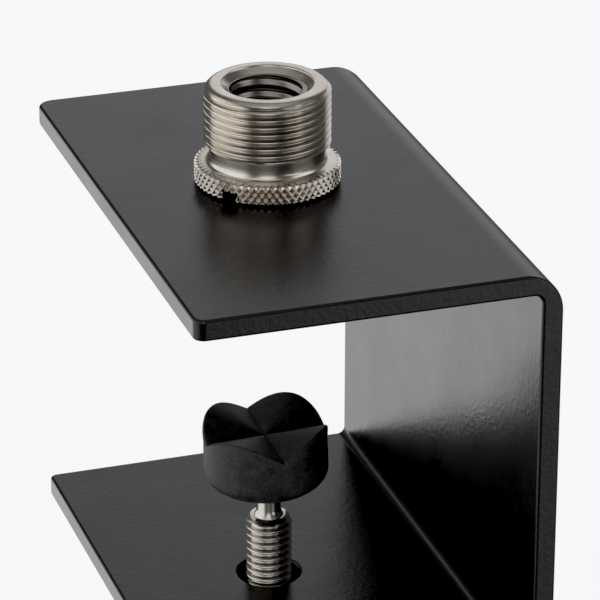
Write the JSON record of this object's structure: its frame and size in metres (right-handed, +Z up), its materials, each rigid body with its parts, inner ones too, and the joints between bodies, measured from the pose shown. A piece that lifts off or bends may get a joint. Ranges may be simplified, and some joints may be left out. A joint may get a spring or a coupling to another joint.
{
  "type": "desk clamp headphone hook",
  "caption": "Black sheet-steel C-clamp for a desk edge, with a thumb-screw and rubber pad, a rubber-sleeved headphone hook behind, and a nickel microphone thread adapter on top.",
  "frame": {"origin": "on the underside of the jaw pad, where the desk's top face sits, at the bracket's mid-width and in line with the thread adapter", "axes": "+Z up out of the desk's top face, +X away from the desk towards the user, +Y along the desk's edge"},
  "size_m": [0.0932, 0.0716, 0.1157],
  "materials": {
    "black_powder_coat": "satin black powder coat",
    "jaw_rubber": "matte black rubber sheet",
    "pad_rubber": "matte black moulded rubber",
    "sleeve_rubber": "matte black rubber sleeve",
    "zinc_steel": "bright zinc plate",
    "satin_nickel": "satin nickel plate over turned metal",
    "bright_nickel": "bright nickel plate",
    "knob_plastic": "fine-grained black moulding"
  },
  "bodies": {
    "clamp_frame": {"bracket": "black_powder_coat", "hook": "black_powder_coat", "jaw_pad": "jaw_rubber", "hook_sleeve": "sleeve_rubber", "threaded_stud": "zinc_steel", "weld_nut": "black_powder_coat", "weld_stud_upper": "zinc_steel", "weld_stud_lower": "zinc_steel", "hook_washer_upper": "zinc_steel", "hook_washer_lower": "zinc_steel", "hook_nut_upper": "zinc_steel", "hook_nut_lower": "zinc_steel"},
    "adapter": {"thread_adapter": "satin_nickel"},
    "pad": {"pressure_pad": "pad_rubber", "thrust_disc": "zinc_steel"},
    "screw": {"clamp_screw": "bright_nickel", "clamp_knob": "knob_plastic", "knob_cap": "knob_plastic"}
  },
  "joints": [
    {"name": "adapter_lift", "type": "slide", "parent": "clamp_frame", "child": "adapter", "axis": [0, 0, 1], "range_m": [0, 0.0085]},
    {"name": "clamp_travel", "type": "slide", "parent": "clamp_frame", "child": "pad", "axis": [0, 0, 1], "range_m": [-0.01201, 0.02551]},
    {"name": "screw_turn", "type": "hinge", "parent": "pad", "child": "screw", "pos_m": [-0.0002, 0.0007, -0.06], "axis": [0, 0, 1], "range_deg": [-4320, 9180]}
  ],
  "couplings": [
    {"joint": "clamp_travel", "follows": "screw_turn", "m_per_rad": 0.00015915}
  ]
}
